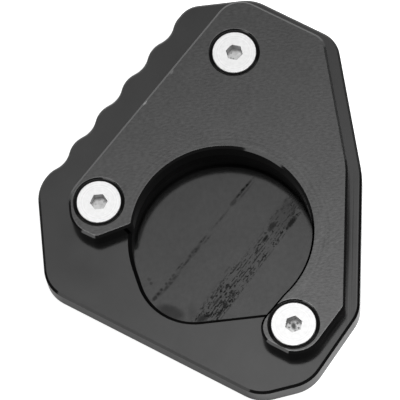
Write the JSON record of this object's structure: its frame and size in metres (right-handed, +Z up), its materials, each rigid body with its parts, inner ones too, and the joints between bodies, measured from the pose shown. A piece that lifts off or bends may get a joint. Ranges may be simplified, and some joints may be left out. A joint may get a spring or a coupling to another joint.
{
  "type": "kickstand foot enlarger",
  "caption": "Black anodised aluminium foot enlarger for a motorcycle kickstand: a wide chamfered base with a foot pocket and scalloped edge, and a clamp plate held by countersunk screws.",
  "frame": {"origin": "on the underside, below the centre of the round foot pocket", "axes": "+Z up from the ground, +Y away from the pocket's straight toe wall, +X to the right seen from above with the toe wall in front"},
  "size_m": [0.084, 0.1087, 0.012],
  "materials": {
    "anodised_aluminium": "satin black anodised, brushed",
    "stainless_steel": "bright turned"
  },
  "bodies": {
    "root": {"base_plate": "anodised_aluminium", "clamp_plate": "anodised_aluminium", "clamp_screw_left": "stainless_steel", "clamp_screw_top": "stainless_steel", "clamp_screw_bottom": "stainless_steel"}
  },
  "joints": []
}
